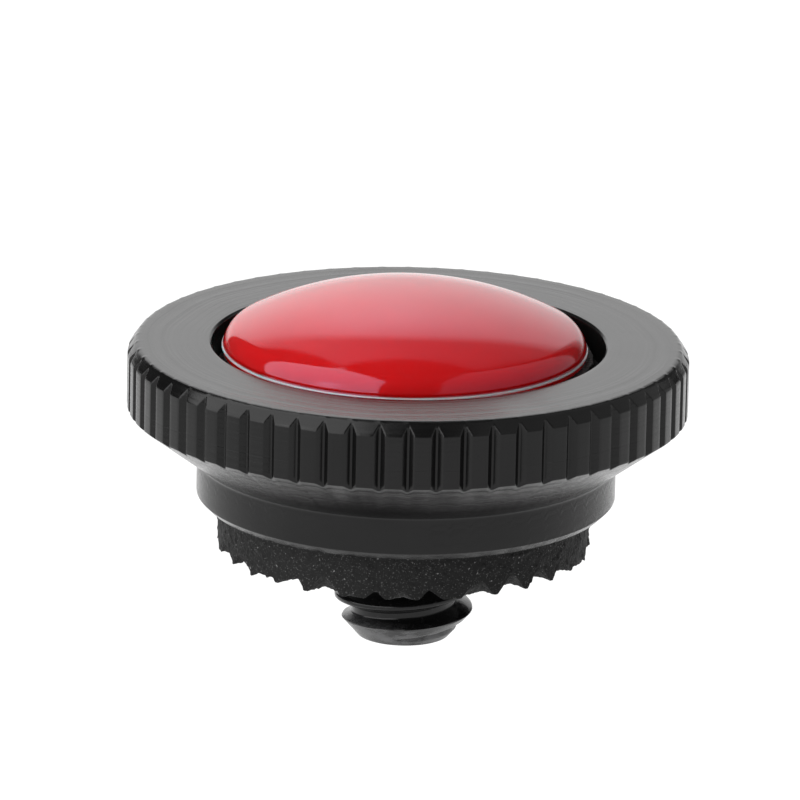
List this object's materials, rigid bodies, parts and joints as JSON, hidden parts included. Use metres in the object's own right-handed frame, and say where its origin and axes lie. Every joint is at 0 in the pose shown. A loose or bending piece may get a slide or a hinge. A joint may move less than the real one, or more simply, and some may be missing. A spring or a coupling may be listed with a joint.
{
  "type": "quick release button plate",
  "caption": "Small knurled round plate with a domed red cap, a plain collar under a conical rim, a rubber grip ring and a quarter-inch camera stud.",
  "frame": {"origin": "on the stud's axis, in the plane where the grip ring meets the camera", "axes": "+Z along the stud's axis towards the domed cap; +Y is away from the viewer who has the cap's wider side gap on the right"},
  "size_m": [0.0256, 0.0256, 0.0165],
  "materials": {
    "anodised_aluminium": "satin black anodised, fine turning marks",
    "blackened_steel": "glossy black, scuffed at the free end",
    "grip_rubber": "pebbled, with fine light specks",
    "bond_film": "matte",
    "soft_foam": "open-celled, matte",
    "red_plastic": "high gloss"
  },
  "bodies": {
    "plate": {"knurled_body": "anodised_aluminium", "camera_stud": "blackened_steel", "grip_pad": "grip_rubber", "pad_adhesive": "bond_film", "cap_foam": "soft_foam"},
    "cap": {"dome_cap": "red_plastic"}
  },
  "joints": [
    {"name": "cap_press", "type": "slide", "parent": "plate", "child": "cap", "axis": [0, 0, -1], "range_m": [0, 0.0005], "stiffness_N_per_m": 8000, "deforming": ["cap_foam"]}
  ]
}
